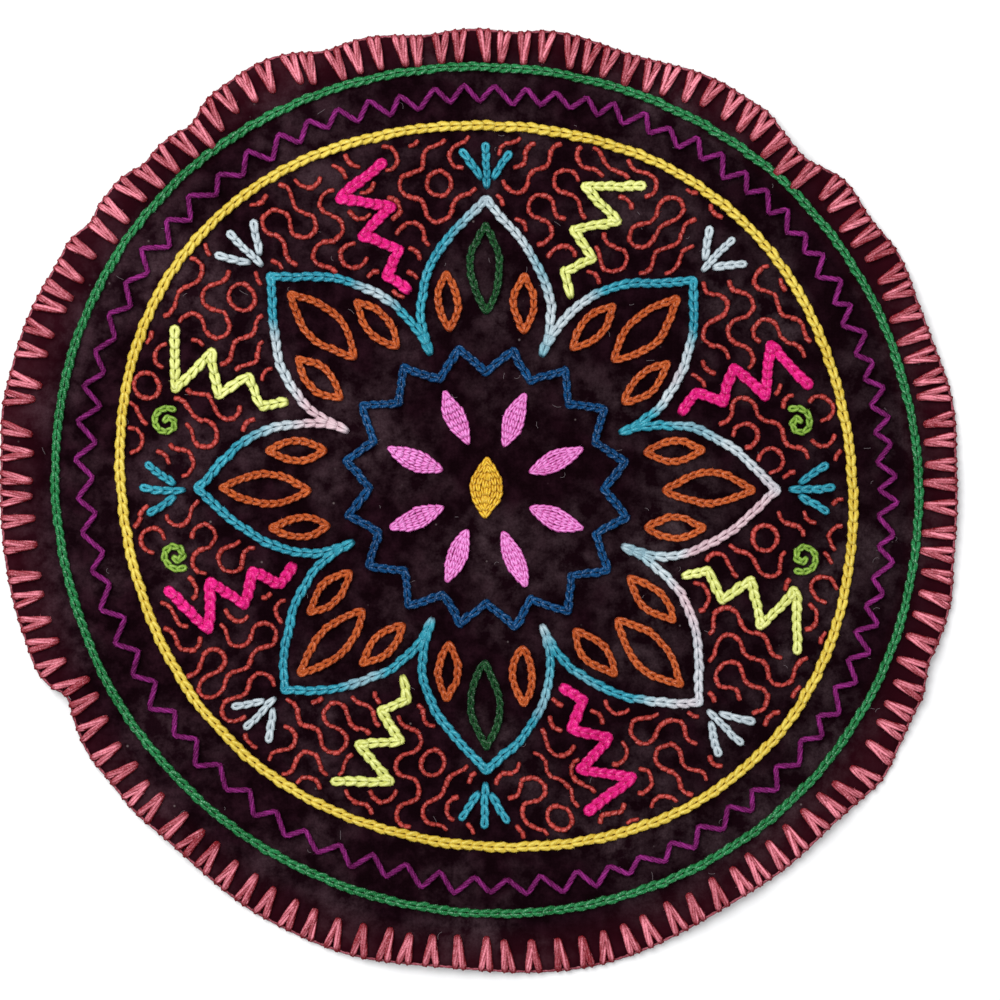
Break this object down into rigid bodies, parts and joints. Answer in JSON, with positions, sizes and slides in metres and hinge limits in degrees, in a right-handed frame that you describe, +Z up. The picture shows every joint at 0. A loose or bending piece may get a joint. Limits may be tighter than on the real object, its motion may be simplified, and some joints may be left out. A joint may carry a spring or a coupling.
{
  "type": "embroidered rug",
  "caption": "Small round mat of dark cotton cloth with a blanket-stitched edge, stitched rings and a floral centre worked in thick coloured yarn.",
  "frame": {"origin": "on the floor, under the middle of the mat's own box", "axes": "+Z up out of the cloth's face, +Y towards the top of the design as seen in the picture, +X to its right"},
  "size_m": [0.4998, 0.4936, 0.0105],
  "materials": {
    "dark_cotton": "matt plain weave",
    "pink_yarn": "matt twisted yarn",
    "green_yarn": "matt twisted yarn",
    "purple_yarn": "matt twisted yarn",
    "yellow_yarn": "matt twisted yarn",
    "turquoise_yarn": "matt twisted yarn",
    "blue_yarn": "matt twisted yarn",
    "lime_yarn": "matt twisted yarn",
    "magenta_yarn": "matt twisted yarn",
    "rose_yarn": "matt twisted yarn",
    "gold_yarn": "matt twisted yarn",
    "orange_yarn": "matt twisted yarn",
    "dark_green_yarn": "matt twisted yarn",
    "leaf_green_yarn": "matt twisted yarn",
    "ice_yarn": "matt twisted yarn"
  },
  "bodies": {
    "root": {"ground_cloth": "dark_cotton", "edge_stitching": "pink_yarn", "green_ring": "green_yarn", "purple_zigzag": "purple_yarn", "yellow_ring": "yellow_yarn", "petal_outline": "turquoise_yarn", "blue_zigzag_ring": "blue_yarn", "heart_leaf": "gold_yarn", "lime_ray_1": "lime_yarn", "lime_ray_2": "lime_yarn", "lime_ray_3": "lime_yarn", "lime_ray_4": "lime_yarn", "magenta_ray_1": "magenta_yarn", "magenta_ray_2": "magenta_yarn", "magenta_ray_3": "magenta_yarn", "magenta_ray_4": "magenta_yarn", "daisy_leaf_1": "rose_yarn", "daisy_leaf_2": "rose_yarn", "daisy_leaf_3": "rose_yarn", "daisy_leaf_4": "rose_yarn", "daisy_leaf_5": "rose_yarn", "daisy_leaf_6": "rose_yarn", "daisy_leaf_7": "rose_yarn", "daisy_leaf_8": "rose_yarn", "petal_leaf_1": "orange_yarn", "petal_leaf_2": "orange_yarn", "petal_leaf_3": "dark_green_yarn", "petal_leaf_4": "orange_yarn", "petal_leaf_5": "orange_yarn", "petal_leaf_6": "orange_yarn", "petal_leaf_7": "dark_green_yarn", "petal_leaf_8": "orange_yarn", "right_leaf_1": "orange_yarn", "right_leaf_2": "orange_yarn", "right_leaf_3": "orange_yarn", "right_leaf_4": "orange_yarn", "right_leaf_5": "orange_yarn", "right_leaf_6": "orange_yarn", "right_leaf_7": "orange_yarn", "right_leaf_8": "orange_yarn", "left_leaf_1": "orange_yarn", "left_leaf_2": "orange_yarn", "left_leaf_3": "orange_yarn", "left_leaf_4": "orange_yarn", "left_leaf_5": "orange_yarn", "left_leaf_6": "orange_yarn", "left_leaf_7": "orange_yarn", "left_leaf_8": "orange_yarn", "tip_spray_1": "turquoise_yarn", "tip_spray_2": "ice_yarn", "tip_spray_3": "turquoise_yarn", "tip_spray_4": "ice_yarn", "tip_spray_5": "turquoise_yarn", "tip_spray_6": "ice_yarn", "tip_spray_7": "turquoise_yarn", "tip_spray_8": "ice_yarn", "right_curl_1": "leaf_green_yarn", "right_curl_5": "leaf_green_yarn", "left_curl_1": "leaf_green_yarn", "left_curl_5": "leaf_green_yarn"}
  },
  "joints": []
}
